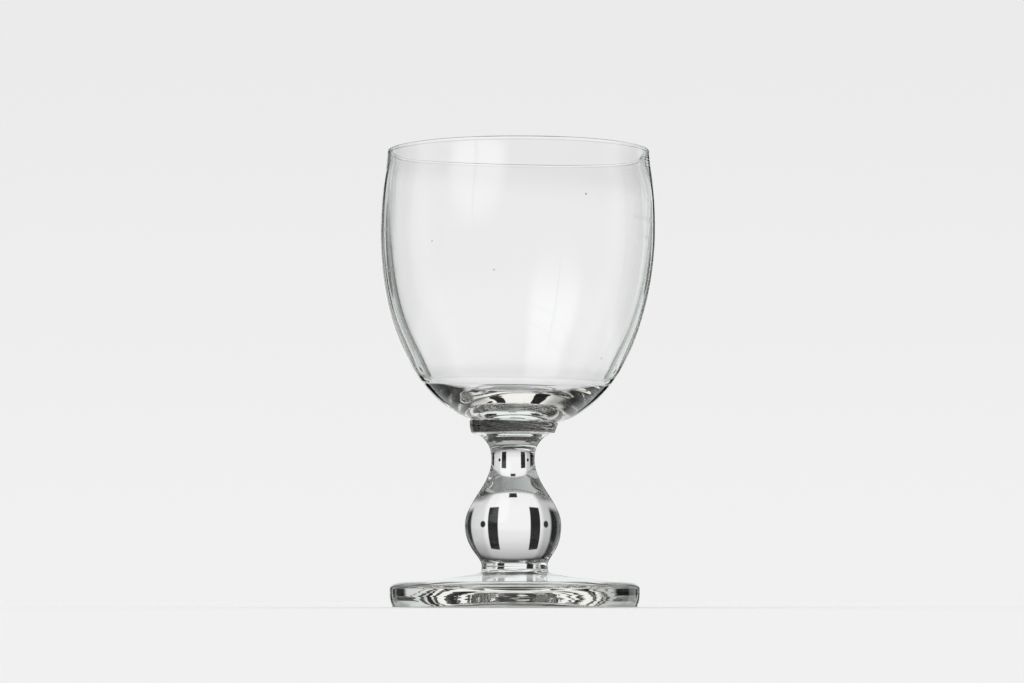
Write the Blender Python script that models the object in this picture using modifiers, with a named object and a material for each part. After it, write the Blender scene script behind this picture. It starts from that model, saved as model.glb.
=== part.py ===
"""Red wine glass in clear colourless glass: a blown bowl, a collar under it, a solid baluster stem with
one ball knop, and a thick domed foot. The four gathers are hot-joined face to face, one on the other.

Metres, +Z up. The origin is the middle of the surface that the foot stands on.
"""

import bpy
from math import cos, dist, pi, radians, sin

# Every turned piece has this many sides, and two welded faces lie this far apart.
SIDES = 48
MERGE_DISTANCE = 0.00001
JOINT_GAP = 0.0003

# Foot: a thick disc with an edge that draws in below, a soft shoulder and a low dome up to the stem.
# Underneath, a ground ring bears on the table round a soft step and a hollow that was pushed up hot.
FOOT_RADIUS = 0.0369
FOOT_EDGE_HEIGHT = 0.00525
FOOT_EDGE_DRAW = 0.0009
FOOT_EDGE_POWER = 3
FOOT_SHOULDER_REACH = 0.0045
FOOT_SHOULDER_RISE = 0.0021
FOOT_DOME_RISE = 0.00275
FOOT_DOME_SLOPE = radians(4.0)
FOOT_WELD_SLOPE = radians(16.0)
FOOT_RING_WIDTH = 0.0059
FOOT_STEP_WIDTH = 0.0044
FOOT_STEP_HEIGHT = 0.0023
FOOT_HOLLOW_DEPTH = 0.0079
FOOT_HOLLOW_SLOPE = radians(19.5)

# Stem: a short waist over the foot, the ball knop, a long taper, a slim neck and a flare to the collar.
STEM_WELD_RADIUS = 0.0100
WAIST_RADIUS = 0.00975
WAIST_HEIGHT = 0.0018
KNOP_RADIUS = 0.01425
KNOP_LOWER_HEIGHT = 0.0118
KNOP_TAPER_HEIGHT = 0.0195
NECK_RADIUS = 0.0064
NECK_LENGTH = 0.0002
FLARE_HEIGHT = 0.00725
FLARE_RADIUS = 0.01205
FLARE_SLOPE = radians(15.0)

# Collar: a flat button of glass with a side that leans out, widest just under the bowl.
COLLAR_RADIUS = 0.01305
COLLAR_HEIGHT = 0.0033
COLLAR_WIDEST_HEIGHT = 0.0031
COLLAR_SIDE_SLOPE = radians(77.0)

# Bowl: a round-bottomed goblet, widest well above its middle, drawn in a little to a rounded lip.
# Inside it is widest a little over the belly, and a heel turns into a nearly flat floor with a low hump.
BOWL_WELD_RADIUS = 0.01255
BOWL_BASE_SLOPE = radians(16.5)
BOWL_LOWER_HEIGHT = 0.05515
BOWL_UPPER_HEIGHT = 0.0250
BELLY_RADIUS = 0.0407
RIM_RADIUS = 0.0388
RIM_SLOPE = radians(87.0)
RIM_WALL = 0.0013
BELLY_WALL = 0.0015
INSIDE_BELLY_RISE = 0.0060
HEEL_HEIGHT = 0.01305
HEEL_WALL = 0.0033
HEEL_SLOPE = radians(66.0)
BASE_THICKNESS = 0.0050
FLOOR_RADIUS = 0.0102
HUMP_RISE = 0.0009

# How far a curve runs on in its own direction at its start and its end, as shares of its height or reach.
DOME_SHARES = (0.22, 0.40)
HOLLOW_SHARES = (0.345, 0.36)
WAIST_SHARES = (0.36, 0.36)
KNOP_SHARES = (0.60, 0.20)
TAPER_SHARES = (0.40, 0.36)
FLARE_SHARES = (0.29, 0.72)
COLLAR_SHARES = (0.155, 0.48)
BOWL_OUTER_SHARES = (0.40, 0.72)
BOWL_RIM_SHARES = (0.60, 0.25)
BOWL_WALL_SHARES = (0.61, 0.18)
BOWL_FLOOR_SHARES = (0.21, 0.52)
HUMP_SHARES = (0.48, 0.44)

GLASS_COLOUR = (0.93, 0.955, 0.945, 1.0)
GLASS_ROUGHNESS = 0.02
GLASS_INDEX = 1.5
CREASE_ANGLE = radians(35.0)


def curve(start, start_handle, end_handle, end, steps):
    """Points of a cubic curve in (radius, height), from its start to its end."""
    points = []
    for step in range(steps + 1):
        t = step / steps
        weights = ((1 - t) ** 3, 3 * t * (1 - t) ** 2, 3 * t * t * (1 - t), t ** 3)
        corners = (start, start_handle, end_handle, end)
        points.append(tuple(sum(w * p[axis] for w, p in zip(weights, corners)) for axis in (0, 1)))
    return points


def round_corner(centre, reach, rise, start, end, steps):
    """Points of an oval arc about a centre, between two angles measured up from the radius."""
    angles = [start + (end - start) * step / steps for step in range(steps + 1)]
    return [(centre[0] + reach * cos(angle), centre[1] + rise * sin(angle)) for angle in angles]


def radius_at(height, run):
    """Radius at a height on a run of points that falls from its start to its end."""
    for upper, lower in zip(run, run[1:]):
        if upper[1] >= height >= lower[1]:
            share = (height - lower[1]) / (upper[1] - lower[1])
            return lower[0] + share * (upper[0] - lower[0])


def joined(*runs):
    """One outline from runs of points that follow each other, each shared end kept once."""
    outline = []
    for run in runs:
        for point in run:
            if not outline or dist(point, outline[-1]) > MERGE_DISTANCE:
                outline.append(point)
    return outline


def clear_glass(name):
    """Colourless soda-lime glass for one piece."""
    material = bpy.data.materials.new(name)
    material.use_nodes = True
    shader = material.node_tree.nodes["Principled BSDF"]
    shader.inputs["Base Color"].default_value = GLASS_COLOUR
    shader.inputs["Roughness"].default_value = GLASS_ROUGHNESS
    shader.inputs["Metallic"].default_value = 0.0
    shader.inputs["IOR"].default_value = GLASS_INDEX
    shader.inputs["Transmission Weight"].default_value = 1.0
    return material


def turned(name, outline, base_height):
    """Turn an outline, run from the axis down its outer side and back to the axis, into one solid."""
    mesh = bpy.data.meshes.new(name)
    edges = [(index, index + 1) for index in range(len(outline) - 1)]
    mesh.from_pydata([(radius, 0.0, height) for radius, height in outline], edges, [])
    part = bpy.data.objects.new(name, mesh)
    collection.objects.link(part)

    screw = part.modifiers.new("Turn", "SCREW")
    screw.steps = SIDES
    screw.render_steps = SIDES
    screw.use_merge_vertices = True
    screw.merge_threshold = MERGE_DISTANCE

    depsgraph = bpy.context.evaluated_depsgraph_get()
    part.data = bpy.data.meshes.new_from_object(part.evaluated_get(depsgraph))
    part.modifiers.clear()
    bpy.data.meshes.remove(mesh)
    part.data.name = name
    part.data.shade_smooth()
    part.data.set_sharp_from_angle(angle=CREASE_ANGLE)
    part.data.materials.append(clear_glass(name + "_glass"))
    part.parent = glass
    part.location.z = base_height
    return part


def foot_outline():
    """From the weld on top, down the dome and the edge, under the ring, up the step and the hollow."""
    weld = (STEM_WELD_RADIUS, FOOT_HEIGHT)
    shoulder = (FOOT_RADIUS - FOOT_SHOULDER_REACH, FOOT_EDGE_HEIGHT + FOOT_SHOULDER_RISE)
    reach = shoulder[0] - weld[0]
    weld_run = DOME_SHARES[0] * reach
    dome_run = DOME_SHARES[1] * reach
    dome = curve(
        weld,
        (weld[0] + weld_run * cos(FOOT_WELD_SLOPE), weld[1] - weld_run * sin(FOOT_WELD_SLOPE)),
        (shoulder[0] - dome_run * cos(FOOT_DOME_SLOPE), shoulder[1] + dome_run * sin(FOOT_DOME_SLOPE)),
        shoulder,
        steps=7,
    )
    shoulder_round = round_corner(
        (shoulder[0], FOOT_EDGE_HEIGHT), FOOT_SHOULDER_REACH, FOOT_SHOULDER_RISE, pi / 2, 0.0, steps=5
    )
    edge_steps = 5
    edge = []
    for step in range(edge_steps + 1):
        drop = step / edge_steps
        edge.append((FOOT_RADIUS - FOOT_EDGE_DRAW * drop**FOOT_EDGE_POWER, FOOT_EDGE_HEIGHT * (1 - drop)))
    step_foot = (FOOT_RADIUS - FOOT_EDGE_DRAW - FOOT_RING_WIDTH, 0.0)
    step_top = (step_foot[0] - FOOT_STEP_WIDTH, FOOT_STEP_HEIGHT)
    inner_step = curve(step_foot, (step_top[0], 0.0), (step_foot[0], FOOT_STEP_HEIGHT), step_top, steps=8)
    hollow_run = HOLLOW_SHARES[0] * step_top[0]
    hollow = curve(
        step_top,
        (
            step_top[0] - hollow_run * cos(FOOT_HOLLOW_SLOPE),
            step_top[1] + hollow_run * sin(FOOT_HOLLOW_SLOPE),
        ),
        (HOLLOW_SHARES[1] * step_top[0], FOOT_HOLLOW_DEPTH),
        (0.0, FOOT_HOLLOW_DEPTH),
        steps=8,
    )
    return joined([(0.0, FOOT_HEIGHT)], dome, shoulder_round, edge, inner_step, hollow)


def stem_outline():
    """From the weld under the collar, down the flare, the neck, the taper, the knop and the waist."""
    top = STEM_HEIGHT
    neck_top = top - FLARE_HEIGHT
    neck_foot = neck_top - NECK_LENGTH
    knop_level = neck_foot - KNOP_TAPER_HEIGHT
    flare_run = FLARE_SHARES[0] * FLARE_HEIGHT
    flare = curve(
        (FLARE_RADIUS, top),
        (FLARE_RADIUS - flare_run * cos(FLARE_SLOPE), top - flare_run * sin(FLARE_SLOPE)),
        (NECK_RADIUS, neck_top + FLARE_SHARES[1] * FLARE_HEIGHT),
        (NECK_RADIUS, neck_top),
        steps=6,
    )
    taper = curve(
        (NECK_RADIUS, neck_foot),
        (NECK_RADIUS, neck_foot - TAPER_SHARES[0] * KNOP_TAPER_HEIGHT),
        (KNOP_RADIUS, knop_level + TAPER_SHARES[1] * KNOP_TAPER_HEIGHT),
        (KNOP_RADIUS, knop_level),
        steps=11,
    )
    knop_lower = curve(
        (KNOP_RADIUS, knop_level),
        (KNOP_RADIUS, knop_level - KNOP_SHARES[0] * KNOP_LOWER_HEIGHT),
        (WAIST_RADIUS, WAIST_HEIGHT + KNOP_SHARES[1] * KNOP_LOWER_HEIGHT),
        (WAIST_RADIUS, WAIST_HEIGHT),
        steps=8,
    )
    waist = curve(
        (WAIST_RADIUS, WAIST_HEIGHT),
        (WAIST_RADIUS, WAIST_HEIGHT * (1 - WAIST_SHARES[0])),
        (WAIST_RADIUS, WAIST_HEIGHT * WAIST_SHARES[1]),
        (STEM_WELD_RADIUS, 0.0),
        steps=2,
    )
    return joined([(0.0, top)], flare, taper, knop_lower, waist, [(0.0, 0.0)])


def collar_outline():
    """From the weld under the bowl, out round the side and in to the weld on the stem."""
    upper_round = round_corner(
        (BOWL_WELD_RADIUS, COLLAR_WIDEST_HEIGHT),
        COLLAR_RADIUS - BOWL_WELD_RADIUS,
        COLLAR_HEIGHT - COLLAR_WIDEST_HEIGHT,
        pi / 2,
        0.0,
        steps=3,
    )
    side_run = COLLAR_SHARES[0] * COLLAR_WIDEST_HEIGHT
    base_run = COLLAR_SHARES[1] * (COLLAR_RADIUS - FLARE_RADIUS)
    side = curve(
        (COLLAR_RADIUS, COLLAR_WIDEST_HEIGHT),
        (
            COLLAR_RADIUS - side_run * cos(COLLAR_SIDE_SLOPE),
            COLLAR_WIDEST_HEIGHT - side_run * sin(COLLAR_SIDE_SLOPE),
        ),
        (FLARE_RADIUS + base_run, 0.0),
        (FLARE_RADIUS, 0.0),
        steps=5,
    )
    return joined([(0.0, COLLAR_HEIGHT)], upper_round, side, [(0.0, 0.0)])


def bowl_outline():
    """From the middle of the inside, up the inner wall, over the lip and down the outer wall to the weld."""
    lip_round = RIM_WALL / 2
    lip_level = BOWL_LOWER_HEIGHT + BOWL_UPPER_HEIGHT - lip_round
    inner_belly = (BELLY_RADIUS - BELLY_WALL, BOWL_LOWER_HEIGHT + INSIDE_BELLY_RISE)
    outer_belly = (BELLY_RADIUS, BOWL_LOWER_HEIGHT)
    floor = (FLOOR_RADIUS, BASE_THICKNESS)
    hump_level = BASE_THICKNESS + HUMP_RISE

    def upper_wall(belly, rim):
        height = lip_level - belly[1]
        rim_run = BOWL_RIM_SHARES[1] * height
        return curve(
            belly,
            (belly[0], belly[1] + BOWL_RIM_SHARES[0] * height),
            (rim + rim_run * cos(RIM_SLOPE), lip_level - rim_run * sin(RIM_SLOPE)),
            (rim, lip_level),
            steps=4,
        )

    base_run = BOWL_OUTER_SHARES[1] * (BELLY_RADIUS - BOWL_WELD_RADIUS)
    outside = curve(
        outer_belly,
        (BELLY_RADIUS, BOWL_LOWER_HEIGHT * (1 - BOWL_OUTER_SHARES[0])),
        (BOWL_WELD_RADIUS + base_run * cos(BOWL_BASE_SLOPE), base_run * sin(BOWL_BASE_SLOPE)),
        (BOWL_WELD_RADIUS, 0.0),
        steps=12,
    )
    heel = (radius_at(HEEL_HEIGHT, outside) - HEEL_WALL, HEEL_HEIGHT)
    hump = curve(
        (0.0, hump_level),
        (HUMP_SHARES[0] * FLOOR_RADIUS, hump_level),
        (FLOOR_RADIUS * (1 - HUMP_SHARES[1]), BASE_THICKNESS),
        floor,
        steps=4,
    )
    floor_reach = heel[0] - floor[0]
    heel_run = BOWL_FLOOR_SHARES[0] * floor_reach
    inside_floor = curve(
        floor,
        (floor[0] + BOWL_FLOOR_SHARES[1] * floor_reach, floor[1]),
        (heel[0] - heel_run * cos(HEEL_SLOPE), heel[1] - heel_run * sin(HEEL_SLOPE)),
        heel,
        steps=7,
    )
    wall_height = inner_belly[1] - heel[1]
    wall_run = BOWL_WALL_SHARES[1] * wall_height
    inside_wall = curve(
        heel,
        (heel[0] + wall_run * cos(HEEL_SLOPE), heel[1] + wall_run * sin(HEEL_SLOPE)),
        (inner_belly[0], inner_belly[1] - BOWL_WALL_SHARES[0] * wall_height),
        inner_belly,
        steps=8,
    )
    lip = round_corner((RIM_RADIUS - lip_round, lip_level), lip_round, lip_round, pi, 0.0, steps=4)
    inner_upper = upper_wall(inner_belly, RIM_RADIUS - RIM_WALL)
    outer_upper = upper_wall(outer_belly, RIM_RADIUS)
    return joined(
        hump, inside_floor, inside_wall, inner_upper, lip, outer_upper[::-1], outside, [(0.0, 0.0)]
    )


for old in list(bpy.data.objects):
    bpy.data.objects.remove(old, do_unlink=True)

collection = bpy.data.collections.new("wine_glass")
bpy.context.scene.collection.children.link(collection)
glass = bpy.data.objects.new("wine_glass_base", None)
collection.objects.link(glass)

# The pieces stand one on the other, so each starts where the one below ends, plus the gap.
FOOT_HEIGHT = FOOT_EDGE_HEIGHT + FOOT_SHOULDER_RISE + FOOT_DOME_RISE
STEM_HEIGHT = WAIST_HEIGHT + KNOP_LOWER_HEIGHT + KNOP_TAPER_HEIGHT + NECK_LENGTH + FLARE_HEIGHT
stem_base = FOOT_HEIGHT + JOINT_GAP
collar_base = stem_base + STEM_HEIGHT + JOINT_GAP
bowl_base = collar_base + COLLAR_HEIGHT + JOINT_GAP

turned("foot", foot_outline(), 0.0)
turned("stem", stem_outline(), stem_base)
turned("collar", collar_outline(), collar_base)
turned("bowl", bowl_outline(), bowl_base)
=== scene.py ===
"""Red wine glass, empty, in clear colourless glass: the looks of its four pieces on a pale studio floor."""

from math import cos, pi, radians, sin

import bmesh
import bpy
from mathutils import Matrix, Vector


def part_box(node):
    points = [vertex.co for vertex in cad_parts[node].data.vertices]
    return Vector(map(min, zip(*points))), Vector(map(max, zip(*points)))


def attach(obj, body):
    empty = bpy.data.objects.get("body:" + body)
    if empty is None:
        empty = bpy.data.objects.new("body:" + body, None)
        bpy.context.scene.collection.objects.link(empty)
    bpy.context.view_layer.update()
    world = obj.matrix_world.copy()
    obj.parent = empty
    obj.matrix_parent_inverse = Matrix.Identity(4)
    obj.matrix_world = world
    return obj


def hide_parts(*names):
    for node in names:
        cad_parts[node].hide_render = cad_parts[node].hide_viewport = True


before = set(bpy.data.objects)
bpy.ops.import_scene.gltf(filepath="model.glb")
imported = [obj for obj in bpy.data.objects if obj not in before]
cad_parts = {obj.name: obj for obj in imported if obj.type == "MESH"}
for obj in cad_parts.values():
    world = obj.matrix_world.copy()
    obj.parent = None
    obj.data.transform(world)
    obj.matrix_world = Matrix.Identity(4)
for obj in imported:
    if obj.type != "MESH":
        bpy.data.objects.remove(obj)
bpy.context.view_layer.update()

# Bowl: blown clear glass, fire-polished to a bead at the lip, with a wall that thickens to the base.
# The collar was dropped on that base while both were soft, and pushed the middle of it up inside.
# A run is the length of a curve's handle, a share is a run over its curve's reach, a slope its direction.
bowl_low, bowl_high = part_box("bowl")
bowl_weld_level = (bowl_low.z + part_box("collar")[1].z) / 2
bowl_weld_radius = 0.01255
bowl_base_slope = radians(16.5)
bowl_base_run = 0.0203
belly_radius = bowl_high.x
belly_level = 0.1100
belly_run = 0.0221
rim_level = bowl_high.z
rim_radius = 0.0388
rim_slope = radians(87.0)
rim_wall = 0.0013
rim_share_at_belly = 0.60
rim_share_at_lip = 0.25
lip_bead_radius = 0.00072
lip_swell_height = 0.0005
inside_belly_radius = 0.03919
inside_belly_level = 0.1160
inside_run = 0.0305
heel_radius = 0.02700
heel_level = 0.06789
heel_slope = radians(66.2)
heel_run_up = 0.00879
heel_run_down = 0.00330
valley_radius = 0.01021
valley_level = 0.05982
valley_run = 0.0083
hump_level = 0.06069
hump_share_at_valley = 0.445
hump_share_at_top = 0.48
inside_shift = 0.0003
inside_shift_fade = (0.134, 0.120)
bowl_floor_upward = 0.9
bowl_tint = (1.0, 1.0, 1.0, 1.0)
bowl_waviness = 0.00001

STEPS_ROUND = 192
CREASE = radians(35.0)
SAME_PLACE = 1e-6
OUTER_FACE = 0
WELD_FACE = 1


def handle(point, run, slope):
    """The end of a curve's handle: a run from a point, at a slope up from the outward radius."""
    return (point[0] + run * cos(slope), point[1] + run * sin(slope))


def curve(start, start_handle, end_handle, end, steps):
    """Points of a cubic curve in (radius, level), from its start to its end."""
    points = []
    corners = (start, start_handle, end_handle, end)
    for step in range(steps + 1):
        t = step / steps
        weights = ((1 - t) ** 3, 3 * t * (1 - t) ** 2, 3 * t * t * (1 - t), t ** 3)
        points.append(tuple(sum(w * p[axis] for w, p in zip(weights, corners)) for axis in (0, 1)))
    return points


def oval(centre, reach, rise, start, end, steps):
    """Points of an oval arc about a centre, between two angles measured up from the radius."""
    angles = [start + (end - start) * step / steps for step in range(steps + 1)]
    return [(centre[0] + reach * cos(a), centre[1] + rise * sin(a)) for a in angles]


def eased(value, low, high):
    """0 below low, 1 above high, and a smooth step between; low may be the larger."""
    t = min(max((value - low) / (high - low), 0.0), 1.0)
    return t * t * (3 - 2 * t)


# How far each part of the hand-made glass stands off the foot's axis, and the levels it grows over.
stem_lean, stem_lean_levels = -0.0005, (0.010, 0.024)
bowl_lean, bowl_lean_levels = 0.0009, (0.0528, 0.0575)
rim_lean, rim_lean_levels = 0.0007, (0.058, 0.135)

# How steeply a level falls where the collar was pressed on askew, with the levels it comes and goes over.
collar_slant, collar_slant_from, collar_slant_to = 0.020, (0.0513, 0.0540), (0.0590, 0.0550)
base_slant, base_slant_from, base_slant_to = 0.018, (0.051, 0.054), (0.090, 0.070)


def lean(level):
    """How far the glass stands off its foot's axis at one level, along X."""
    at_stem = stem_lean * eased(level, *stem_lean_levels)
    at_bowl = bowl_lean * eased(level, *bowl_lean_levels)
    at_rim = rim_lean * eased(level, *rim_lean_levels)
    return at_stem + at_bowl + at_rim


def slant(level):
    """How steeply the same level falls along X."""
    at_collar = collar_slant * eased(level, *collar_slant_from) * eased(level, *collar_slant_to)
    at_base = base_slant * eased(level, *base_slant_from) * eased(level, *base_slant_to)
    return at_collar + at_base


def turned(name, outline, weld_levels, materials):
    """Spin an outline round the axis into one closed piece, with its flat weld faces in their own slot."""
    shape = bmesh.new()
    points = [shape.verts.new((radius, 0.0, level)) for radius, level in outline]
    edges = [shape.edges.new(pair) for pair in zip(points, points[1:])]
    bmesh.ops.spin(
        shape,
        geom=points + edges,
        cent=(0.0, 0.0, 0.0),
        axis=(0.0, 0.0, 1.0),
        angle=2 * pi,
        steps=STEPS_ROUND,
        use_merge=True,
    )
    bmesh.ops.remove_doubles(shape, verts=shape.verts[:], dist=SAME_PLACE)
    bmesh.ops.recalc_face_normals(shape, faces=shape.faces[:])
    for face in shape.faces:
        at_weld = [all(abs(v.co.z - level) < SAME_PLACE for v in face.verts) for level in weld_levels]
        face.material_index = WELD_FACE if any(at_weld) else OUTER_FACE
    for vert in shape.verts:
        level = vert.co.z
        vert.co.z -= slant(level) * vert.co.x
        vert.co.x += lean(level)
    mesh = bpy.data.meshes.new(name)
    shape.to_mesh(mesh)
    shape.free()
    mesh.shade_smooth()
    mesh.set_sharp_from_angle(angle=CREASE)
    for material in materials:
        mesh.materials.append(material)
    piece = bpy.data.objects.new(name, mesh)
    bpy.context.scene.collection.objects.link(piece)
    return piece


class Strand:
    """One socket of a node tree. Arithmetic on it adds Math nodes, and node() adds any other."""

    def __init__(self, socket):
        self.socket = socket
        self.tree = socket.id_data

    def node(self, kind, settings, inputs, output=0):
        made = self.tree.nodes.new(kind)
        for setting, value in settings.items():
            setattr(made, setting, value)
        for socket, value in inputs.items():
            if isinstance(value, Strand):
                self.tree.links.new(value.socket, made.inputs[socket])
            else:
                made.inputs[socket].default_value = value
        return Strand(made.outputs[output])

    def math(self, operation, *values):
        return self.node("ShaderNodeMath", {"operation": operation}, dict(enumerate(values)))

    def __add__(self, other):
        return self.math("ADD", self, other)

    def __sub__(self, other):
        return self.math("SUBTRACT", self, other)

    def __rsub__(self, other):
        return self.math("SUBTRACT", other, self)

    def __mul__(self, other):
        return self.math("MULTIPLY", self, other)

    __radd__ = __add__
    __rmul__ = __mul__

    def step(self, low, high):
        """0 below low, 1 above high, and a smooth step between; low may be the larger."""
        ends = {"Value": self, "From Min": low, "From Max": high}
        return self.node("ShaderNodeMapRange", {"interpolation_type": "SMOOTHSTEP"}, ends)

    def colours(self, first, second):
        """A colour that goes from the first to the second as this value goes from 0 to 1."""
        factor, first_colour, second_colour, mixed_colour = 0, 6, 7, 2
        inputs = {factor: self, first_colour: first, second_colour: second}
        return self.node("ShaderNodeMix", {"data_type": "RGBA"}, inputs, mixed_colour)

    def feed(self, shader, socket):
        self.tree.links.new(self.socket, shader.inputs[socket])


def weld_glass():
    """The inside of a hot joint, where glass runs on into glass and nothing shows."""
    material = bpy.data.materials.new("fused_joint")
    material.use_nodes = True
    shader = material.node_tree.nodes["Principled BSDF"]
    shader.inputs["Alpha"].default_value = 0.0
    return material


glass_ior = 1.52
wave_scale = 55.0
tool_mark_scale = (60.0, 60.0, 1300.0)
tool_mark_fade = 0.0005
seed_scale = 62.0
seed_edge = (0.026, 0.014)
seed_grey = (0.16, 0.16, 0.16, 1.0)
scratch_scale = (30.0, 30.0, 420.0)
scratch_edge = (0.77, 0.80)
scratch_roughness = 0.10
ground_roughness = 0.35
ground_fade = (0.0004, 0.0001)
below_everything = -1.0


def clear_glass(name, tint, waviness, tooled=(), ground_level=below_everything):
    """Colourless soda-lime glass, wavy from the fire, ringed by the jacks, with a few seeds and scratches.

    Each tooled zone is its lowest level, its highest level and the depth of its marks.
    """
    material = bpy.data.materials.new(name)
    material.use_nodes = True
    shader = material.node_tree.nodes["Principled BSDF"]
    shader.inputs["IOR"].default_value = glass_ior
    shader.inputs["Transmission Weight"].default_value = 1.0
    place = Strand(material.node_tree.nodes.new("ShaderNodeTexCoord").outputs["Object"])
    height = place.node("ShaderNodeSeparateXYZ", {}, {"Vector": place}, "Z")

    waves = place.node("ShaderNodeTexNoise", {}, {"Vector": place, "Scale": wave_scale, "Detail": 1.0})
    along_rings = place.node("ShaderNodeMapping", {}, {"Vector": place, "Scale": tool_mark_scale})
    marks = place.node("ShaderNodeTexNoise", {}, {"Vector": along_rings, "Scale": 1.0, "Detail": 1.0})
    relief = waves * waviness
    for low, high, depth in tooled:
        above_low = height.step(low - tool_mark_fade, low + tool_mark_fade)
        below_high = height.step(high + tool_mark_fade, high - tool_mark_fade)
        zone = above_low * below_high
        relief = relief + marks * zone * depth
    bump = place.node("ShaderNodeBump", {}, {"Height": relief, "Strength": 1.0, "Distance": 1.0})
    bump.feed(shader, "Normal")

    cells = place.node("ShaderNodeTexVoronoi", {}, {"Vector": place, "Scale": seed_scale}, "Distance")
    seeds = cells.step(*seed_edge)
    seeds.colours(tint, seed_grey).feed(shader, "Base Color")

    strokes = place.node("ShaderNodeMapping", {}, {"Vector": place, "Scale": scratch_scale})
    streaks = place.node("ShaderNodeTexNoise", {}, {"Vector": strokes, "Scale": 1.0, "Detail": 0.0})
    ground = height.step(ground_level + ground_fade[0], ground_level + ground_fade[1])
    rough = scratch_roughness * streaks.step(*scratch_edge) + ground_roughness * ground
    rough.feed(shader, "Roughness")
    return material


def bowl_upper(belly, level, rim, bead):
    """One face of the wall from its widest level up to the middle of the lip's bead."""
    bead_level = rim_level - lip_bead_radius
    neck_level = bead_level - lip_swell_height
    height = neck_level - level
    wall = curve(
        (belly, level),
        (belly, level + rim_share_at_belly * height),
        handle((rim, neck_level), rim_share_at_lip * height, -rim_slope),
        (rim, neck_level),
        steps=28,
    )
    swell = curve(
        (rim, neck_level),
        (rim, neck_level + lip_swell_height / 2),
        (bead, bead_level - lip_swell_height / 2),
        (bead, bead_level),
        steps=8,
    )
    return wall + swell[1:]


bowl_weld_edge = (bowl_weld_radius, bowl_weld_level)
heel = (heel_radius, heel_level)
valley = (valley_radius, valley_level)
bowl_outside = curve(
    bowl_weld_edge,
    handle(bowl_weld_edge, bowl_base_run, bowl_base_slope),
    (belly_radius, belly_level - belly_run),
    (belly_radius, belly_level),
    steps=72,
)
rim_middle = rim_radius - rim_wall / 2
rim_inside = rim_radius - rim_wall
lip_middle = (rim_middle, rim_level - lip_bead_radius)
bowl_lip = oval(lip_middle, lip_bead_radius, lip_bead_radius, 0.0, pi, steps=16)
bowl_inside = curve(
    (inside_belly_radius, inside_belly_level),
    (inside_belly_radius, inside_belly_level - inside_run),
    handle(heel, heel_run_up, heel_slope),
    heel,
    steps=72,
)
bowl_floor = curve(
    heel,
    handle(heel, -heel_run_down, heel_slope),
    (valley_radius + valley_run, valley_level),
    valley,
    steps=48,
)
bowl_hump = curve(
    valley,
    (valley_radius * (1 - hump_share_at_valley), valley_level),
    (valley_radius * hump_share_at_top, hump_level),
    (0.0, hump_level),
    steps=24,
)
bowl_outline = (
    [(0.0, bowl_weld_level)]
    + bowl_outside[:-1]
    + bowl_upper(belly_radius, belly_level, rim_radius, rim_middle + lip_bead_radius)
    + bowl_lip[1:-1]
    + bowl_upper(inside_belly_radius, inside_belly_level, rim_inside, rim_middle - lip_bead_radius)[:0:-1]
    + bowl_inside
    + bowl_floor[1:]
    + bowl_hump[1:]
)
joint_glass = weld_glass()
bowl_glass = clear_glass("bowl_clear", bowl_tint, bowl_waviness)
bowl = turned("bowl_glass", bowl_outline, [bowl_weld_level], [bowl_glass, joint_glass])
bowl_normals = [vert.normal.copy() for vert in bowl.data.vertices]
for vert, normal in zip(bowl.data.vertices, bowl_normals):
    faces_in = normal.x * vert.co.x + normal.y * vert.co.y < 0
    if faces_in or normal.z > bowl_floor_upward:
        vert.co.x += inside_shift * eased(vert.co.z, *inside_shift_fade)
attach(bowl, "root")
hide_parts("bowl")

# Collar: a flat button of soft glass, dropped on the bowl's base and squeezed so that its side leans out.
# The stem is drawn on from its other side, so both of its faces are fused.
collar_low, collar_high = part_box("collar")
collar_weld_level = (collar_low.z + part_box("stem")[1].z) / 2
collar_radius = collar_high.x
collar_side_height = 0.0031
collar_side_slope = radians(77.0)
collar_run_at_flare = 0.00048
collar_run_at_side = 0.00048
flare_radius = 0.01205
thick_tint = (0.985, 0.990, 0.986, 1.0)
collar_waviness = 0.00002
collar_marks = [(0.0505, 0.0540, 0.00002)]

collar_widest = (collar_radius, collar_low.z + collar_side_height)
collar_side = curve(
    (flare_radius, collar_weld_level),
    (flare_radius + collar_run_at_flare, collar_weld_level),
    handle(collar_widest, -collar_run_at_side, collar_side_slope),
    collar_widest,
    steps=20,
)
collar_shoulder = oval(
    (bowl_weld_radius, collar_widest[1]),
    collar_radius - bowl_weld_radius,
    bowl_weld_level - collar_widest[1],
    0.0,
    pi / 2,
    steps=8,
)
collar_outline = (
    [(0.0, collar_weld_level)]
    + collar_side
    + collar_shoulder[1:]
    + [(0.0, bowl_weld_level)]
)
collar_glass = clear_glass("collar_clear", thick_tint, collar_waviness, collar_marks)
collar_welds = [collar_weld_level, bowl_weld_level]
collar = turned("collar_glass", collar_outline, collar_welds, [collar_glass, joint_glass])
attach(collar, "root")
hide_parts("collar")

# Stem: one gather of solid glass, drawn out hot and shaped with the jacks into a baluster.
# From the collar down: a flare, a slim neck, a long taper, the ball knop and a short waist.
stem_low, stem_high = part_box("stem")
stem_weld_level = (stem_low.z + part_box("foot")[1].z) / 2
stem_weld_radius = 0.0100
neck_radius = 0.0064
neck_top = 0.0437
neck_foot = 0.0435
flare_slope = radians(15.0)
flare_run = 0.0021
neck_run = 0.0052
knop_radius = stem_high.x
knop_level = 0.0240
taper_run_at_neck = 0.0078
taper_run_at_knop = 0.0070
waist_radius = 0.00975
waist_level = 0.0122
knop_run_at_knop = 0.0071
knop_run_at_waist = 0.0024
waist_run = 0.0007
stem_waviness = 0.00001
stem_marks = [(0.0095, 0.0128, 0.00022), (0.0455, 0.0505, 0.00002)]

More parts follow.
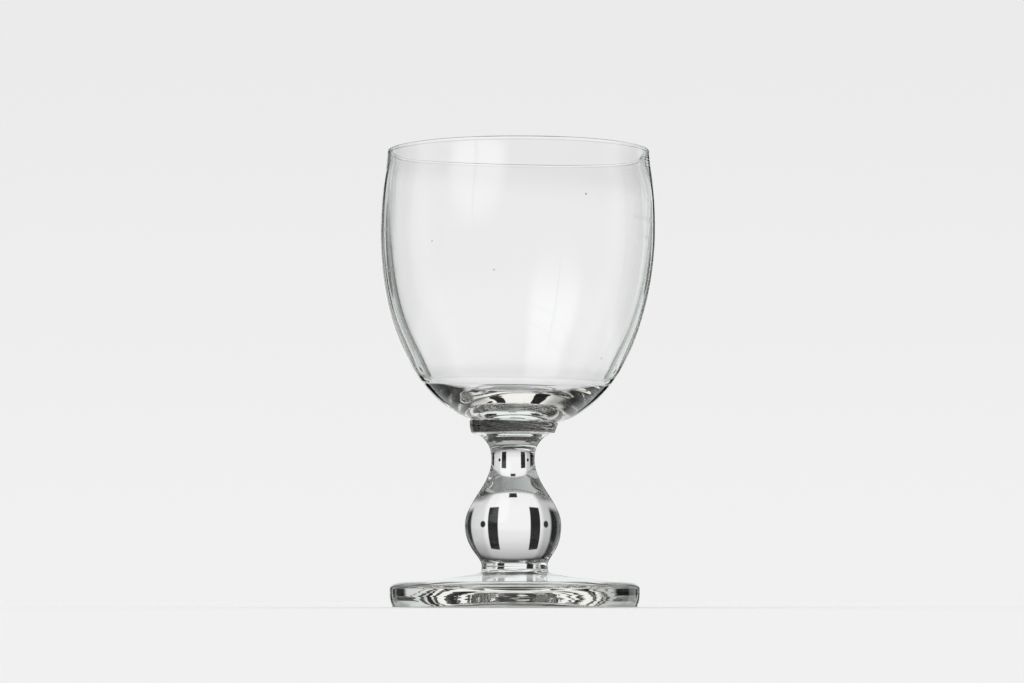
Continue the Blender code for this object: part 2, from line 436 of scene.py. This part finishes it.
stem_flare = curve(
    (flare_radius, collar_weld_level),
    handle((flare_radius, collar_weld_level), -flare_run, flare_slope),
    (neck_radius, neck_top + neck_run),
    (neck_radius, neck_top),
    steps=32,
)
stem_taper = curve(
    (neck_radius, neck_foot),
    (neck_radius, neck_foot - taper_run_at_neck),
    (knop_radius, knop_level + taper_run_at_knop),
    (knop_radius, knop_level),
    steps=56,
)
stem_knop = curve(
    (knop_radius, knop_level),
    (knop_radius, knop_level - knop_run_at_knop),
    (waist_radius, waist_level + knop_run_at_waist),
    (waist_radius, waist_level),
    steps=40,
)
stem_waist = curve(
    (waist_radius, waist_level),
    (waist_radius, waist_level - waist_run),
    (waist_radius, stem_weld_level + waist_run),
    (stem_weld_radius, stem_weld_level),
    steps=10,
)
stem_outline = (
    [(0.0, collar_weld_level)]
    + stem_flare
    + stem_taper
    + stem_knop[1:]
    + stem_waist[1:]
    + [(0.0, stem_weld_level)]
)
stem_glass = clear_glass("stem_clear", thick_tint, stem_waviness, stem_marks)
stem_welds = [collar_weld_level, stem_weld_level]
stem = turned("stem_glass", stem_outline, stem_welds, [stem_glass, joint_glass])
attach(stem, "root")
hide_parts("stem")

# Foot: a thick disc cast on the end of the stem and spread with the foot board, with a low dome on top.
# Underneath, a ring is ground flat to stand on, round a soft step and a hollow that was pushed up hot.
foot_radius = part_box("foot")[1].x
foot_edge_level = 0.00525
foot_draw_in = 0.0009
foot_edge_power = 3.0
foot_edge_steps = 23
foot_shoulder_reach = 0.0045
foot_shoulder_rise = 0.0021
foot_weld_slope = radians(16.0)
foot_weld_run = 0.0049
foot_dome_slope = radians(4.0)
foot_dome_run = 0.0090
foot_ring_width = 0.0059
foot_step_width = 0.0044
foot_step_height = 0.0023
foot_hollow_depth = 0.0079
foot_hollow_slope = radians(19.5)
foot_hollow_run_at_step = 0.00885
foot_hollow_run_at_top = 0.00925
foot_waviness = 0.00002
foot_marks = [(0.0005, 0.0070, 0.000015)]

foot_weld_edge = (stem_weld_radius, stem_weld_level)
foot_shoulder = (foot_radius - foot_shoulder_reach, foot_edge_level + foot_shoulder_rise)
foot_dome = curve(
    foot_weld_edge,
    handle(foot_weld_edge, foot_weld_run, -foot_weld_slope),
    handle(foot_shoulder, -foot_dome_run, -foot_dome_slope),
    foot_shoulder,
    steps=40,
)
foot_shoulder_turn = oval(
    (foot_shoulder[0], foot_edge_level),
    foot_shoulder_reach,
    foot_shoulder_rise,
    pi / 2,
    0.0,
    steps=24,
)
foot_edge = []
for step in range(foot_edge_steps + 1):
    drop = step / foot_edge_steps
    foot_edge.append((foot_radius - foot_draw_in * drop ** foot_edge_power, foot_edge_level * (1 - drop)))
foot_ring_inside = foot_radius - foot_draw_in - foot_ring_width
foot_step_top = (foot_ring_inside - foot_step_width, foot_step_height)
foot_step = curve(
    (foot_ring_inside, 0.0),
    (foot_step_top[0], 0.0),
    (foot_ring_inside, foot_step_height),
    foot_step_top,
    steps=40,
)
foot_hollow = curve(
    foot_step_top,
    handle(foot_step_top, -foot_hollow_run_at_step, -foot_hollow_slope),
    (foot_hollow_run_at_top, foot_hollow_depth),
    (0.0, foot_hollow_depth),
    steps=56,
)
foot_outline = (
    [(0.0, stem_weld_level)]
    + foot_dome
    + foot_shoulder_turn[1:]
    + foot_edge[1:]
    + foot_step
    + foot_hollow[1:]
)
foot_glass = clear_glass("foot_clear", thick_tint, foot_waviness, foot_marks, ground_level=0.0)
foot = turned("foot_glass", foot_outline, [stem_weld_level], [foot_glass, joint_glass])
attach(foot, "root")
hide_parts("foot")

# Floor: a wide pale sheet just under the standing ring. It isn't part of the glass.
# The glass sees the studio through it, and it keeps the glass's soft shadow.
floor_drop = 0.0002
floor_half = 6.0
floor_colour = (0.845, 0.845, 0.845, 1.0)

floor_shape = bmesh.new()
bmesh.ops.create_grid(floor_shape, x_segments=1, y_segments=1, size=floor_half)
bmesh.ops.translate(floor_shape, verts=floor_shape.verts[:], vec=(0.0, 0.0, -floor_drop))
floor_mesh = bpy.data.meshes.new("floor")
floor_shape.to_mesh(floor_mesh)
floor_shape.free()
floor = bpy.data.objects.new("floor", floor_mesh)
bpy.context.scene.collection.objects.link(floor)
floor_paper = bpy.data.materials.new("floor_paper")
floor_paper.use_nodes = True
floor_shader = floor_paper.node_tree.nodes["Principled BSDF"]
floor_shader.inputs["Base Color"].default_value = floor_colour
floor_shader.inputs["Roughness"].default_value = 1.0
floor_shader.inputs["Specular IOR Level"].default_value = 0.0
floor_mesh.materials.append(floor_paper)
floor.visible_transmission = False
floor.visible_glossy = False

# Studio: a white sweep behind the glass that darkens overhead, a pale room round it, and beside the sweep
# the black flags and dark sides that give clear glass its edges. One tall oval lamp stands front left.
# Places are in degrees seen from the glass: turn to the right of straight behind, rise above level.
DEGREES = 180 / pi

world = bpy.data.worlds.new("studio")
bpy.context.scene.world = world
world.use_nodes = True
tree = world.node_tree
backdrop_light = tree.nodes["Background"]
path = tree.nodes.new("ShaderNodeLightPath")
camera_ray = Strand(path.outputs["Is Camera Ray"])
diffuse_ray = Strand(path.outputs["Is Diffuse Ray"])
reflections = Strand(path.outputs["Glossy Depth"])
crossings = Strand(path.outputs["Transmission Depth"])
reflected = reflections.step(0.0, 1.0)
trapped = reflections.step(1.0, 3.0)
from_inside = crossings.step(0.0, 1.0)
through = crossings.step(1.0, 2.0)
direction = Strand(tree.nodes.new("ShaderNodeTexCoord").outputs["Generated"])
along_x, along_y, along_z = (
    direction.node("ShaderNodeSeparateXYZ", {}, {"Vector": direction}, axis) for axis in "XYZ"
)
turn = direction.math("ARCTAN2", along_x, along_y) * DEGREES
rise = direction.math("ARCSINE", along_z) * DEGREES
aside = direction.math("ABSOLUTE", turn)


def band(value, span, soft):
    """1 between the two angles of a span, with edges that fade over a soft angle."""
    low, high = span
    half = soft / 2
    return value.step(low - half, low + half) * value.step(high + half, high - half)


def mixed(first, second, share):
    """A level that goes from the first to the second as the share goes from 0 to 1."""
    return first * (1 - share) + second * share


# The sweep: white at its foot, falling to the dark overhead, dimmer at its sides and lower corners.
overhead = 0.04
sweep_white = 0.95
sweep_low_fade, sweep_low_rise = 0.10, (2.2, 7.4)
sweep_long_fade, sweep_long_rise = 0.47, (6.0, 38.0)
sweep_top_rise = (30.0, 39.0)
sweep_right_fade, sweep_right_turn = 0.22, (24.0, 30.0)
sweep_left_fade, sweep_left_turn = 0.40, (-24.0, -32.0)
sweep_corner_fade, sweep_corner_turn, sweep_corner_rise = 0.60, (22.0, 44.0), (-24.0, -34.0)

sweep_top_fade = sweep_white - sweep_low_fade - sweep_long_fade - overhead
sweep = sweep_white - sweep_low_fade * rise.step(*sweep_low_rise)
sweep = sweep - sweep_long_fade * rise.step(*sweep_long_rise)
sweep = sweep - sweep_top_fade * rise.step(*sweep_top_rise)
sweep = sweep * (1 - sweep_right_fade * turn.step(*sweep_right_turn))
sweep = sweep * (1 - sweep_left_fade * turn.step(*sweep_left_turn))
sweep_corner = aside.step(*sweep_corner_turn) * rise.step(*sweep_corner_rise)
sweep = sweep * (1 - sweep_corner_fade * sweep_corner)

# The room: pale at the sides and on the near side, and darker where the glass mirrors it or traps light.
room_pale = 0.80
side_mirrored, side_turn = 0.45, (70.0, 84.0)
near_mirrored_high, near_mirrored_low, near_mirrored_rise = 0.22, 0.50, (4.0, -18.0)
near_trapped_fade, near_turn = 0.92, (88.0, 106.0)
overhead_turn, overhead_rise = (40.0, 70.0), (45.0, 70.0)
underfoot_right, underfoot_left, underfoot_across = 0.24, 0.50, (0.6, -0.6)
underfoot_trapped_fade, underfoot_rise = 0.60, (-36.0, -42.0)

side_room = mixed(room_pale, side_mirrored, reflected)
near_mirrored = mixed(near_mirrored_high, near_mirrored_low, rise.step(*near_mirrored_rise))
near_room = mixed(room_pale, near_mirrored, reflected) * (1 - near_trapped_fade * trapped)
underfoot = mixed(underfoot_right, underfoot_left, along_x.step(*underfoot_across))
underfoot = underfoot * (1 - underfoot_trapped_fade * trapped)
room = mixed(sweep, side_room, aside.step(*side_turn))
room = mixed(room, near_room, aside.step(*near_turn))
room = mixed(room, overhead, aside.step(*overhead_turn) * rise.step(*overhead_rise))
room = mixed(room, underfoot, rise.step(*underfoot_rise))

# The lamp: tall, with a rounded foot and a dark seam near its middle, dimmer low down and at its top.
lamp_turn, lamp_half_width = -143.0, 30.0
lamp_foot, lamp_round = 1.5, 20.0
lamp_edge = (1.08, 0.25)
lamp_seam_dark, lamp_seam_turn, lamp_seam_soft = 0.80, (-142.5, -141.0), 0.6
lamp_seam_top = (46.0, 43.0)
lamp_mirrored, lamp_mirrored_rise = 1.35, (1.5, 9.0)
lamp_low, lamp_gain, lamp_gain_rise = 0.25, 0.95, (6.0, 29.0)
lamp_top_fade, lamp_top_rise = 0.75, (40.0, 86.0)

lamp_across = (turn - lamp_turn) * (1 / lamp_half_width)
lamp_below = direction.math("MINIMUM", rise - (lamp_foot + lamp_round), 0.0) * (1 / lamp_round)
lamp = (lamp_across * lamp_across + lamp_below * lamp_below).step(*lamp_edge)
lamp_seam = band(turn, lamp_seam_turn, lamp_seam_soft) * rise.step(*lamp_seam_top)
lamp_in_front = lamp_mirrored * rise.step(*lamp_mirrored_rise)
lamp_through = lamp_low + lamp_gain * rise.step(*lamp_gain_rise)
lamp_through = lamp_through * (1 - lamp_top_fade * rise.step(*lamp_top_rise))
lamp_level = mixed(lamp_in_front, lamp_through, through)
room = room + lamp * lamp_level * (1 - lamp_seam_dark * lamp_seam)

# What is black: two flags beside the sweep, the dark sides, two round spots and a low tab between them.
black = 0.004
flag_turns, flag_soft = [(12.6, 22.4), (-24.8, -14.7)], 1.0
flag_rise, flag_end_soft = (-17.2, 23.0), 1.5
dark_side_turns, dark_side_soft = [(50.0, 79.0), (-79.0, -41.0)], 5.0
dark_side_inner_fade = 0.55
trapped_side_turn, trapped_side_soft = (44.0, 116.0), 8.0
dark_side_foot = (-22.0, -14.0)
round_spots = [(28.4, -0.5, 3.2), (-32.3, -0.5, 3.4)]
spot_soft = 0.15
tab_turn, tab_rise, tab_soft = (-4.5, 4.5), (-37.0, -29.0), 1.0

flags = sum(band(turn, span, flag_soft) for span in flag_turns) * band(rise, flag_rise, flag_end_soft)
open_sides = sum(band(turn, span, dark_side_soft) for span in dark_side_turns)
open_sides = open_sides * (1 - dark_side_inner_fade * reflected * from_inside)
trapped_sides = band(aside, trapped_side_turn, trapped_side_soft)
dark_sides = mixed(open_sides, trapped_sides, trapped) * rise.step(*dark_side_foot)
spots = band(turn, tab_turn, tab_soft) * band(rise, tab_rise, tab_soft)
for spot_turn, spot_rise, spot_radius in round_spots:
    across = turn - spot_turn
    up = rise - spot_rise
    outer_edge = (1 + spot_soft) * spot_radius
    inner_edge = (1 - spot_soft) * spot_radius
    spots = spots + (across * across + up * up).step(outer_edge ** 2, inner_edge ** 2)
studio = mixed(room, black, flags + dark_sides + spots)

# What each ray meets: the camera a pale backdrop, the floor an even fill, and the glass the studio, whose
# light is a little cool where the glass mirrors it once and a little warm where it is trapped inside.
backdrop_pale, backdrop_fade, backdrop_rise = 0.875, 0.045, (0.0, 9.0)
neutral = (1.0, 1.0, 1.0, 1.0)
cool = (0.95, 1.0, 0.975, 1.0)
warm = (1.01, 1.0, 0.955, 1.0)

backdrop = backdrop_pale - backdrop_fade * rise.step(*backdrop_rise)
seen = camera_ray * backdrop + diffuse_ray + (1 - camera_ray) * (1 - diffuse_ray) * studio
cast = reflected.colours(neutral, trapped.colours(cool, warm))
coloured = seen.node("ShaderNodeVectorMath", {"operation": "SCALE"}, {0: cast, "Scale": seen})
coloured.feed(backdrop_light, "Color")

# Camera: level with the floor and a little tilted up, as the photograph looks at the glass.
# Light crosses many walls of glass on its way, so it may bend and bounce often before it is given up.
camera_place = (-0.0008, -1.17645, 0.0020)
camera_tilt = 3.709
camera_lens = 140.28
camera_sensor = 36.0
camera_near = 0.01
glass_bounces = 32

camera_data = bpy.data.cameras.new("camera")
camera_data.sensor_width = camera_sensor
camera_data.lens = camera_lens
camera_data.clip_start = camera_near
camera = bpy.data.objects.new("camera", camera_data)
camera.location = camera_place
camera.rotation_euler = (radians(90.0 + camera_tilt), 0.0, 0.0)
bpy.context.scene.collection.objects.link(camera)
bpy.context.scene.camera = camera

scene = bpy.context.scene
scene.view_settings.view_transform = "Standard"
scene.cycles.max_bounces = glass_bounces
scene.cycles.transmission_bounces = glass_bounces
scene.cycles.glossy_bounces = glass_bounces
scene.cycles.transparent_max_bounces = glass_bounces
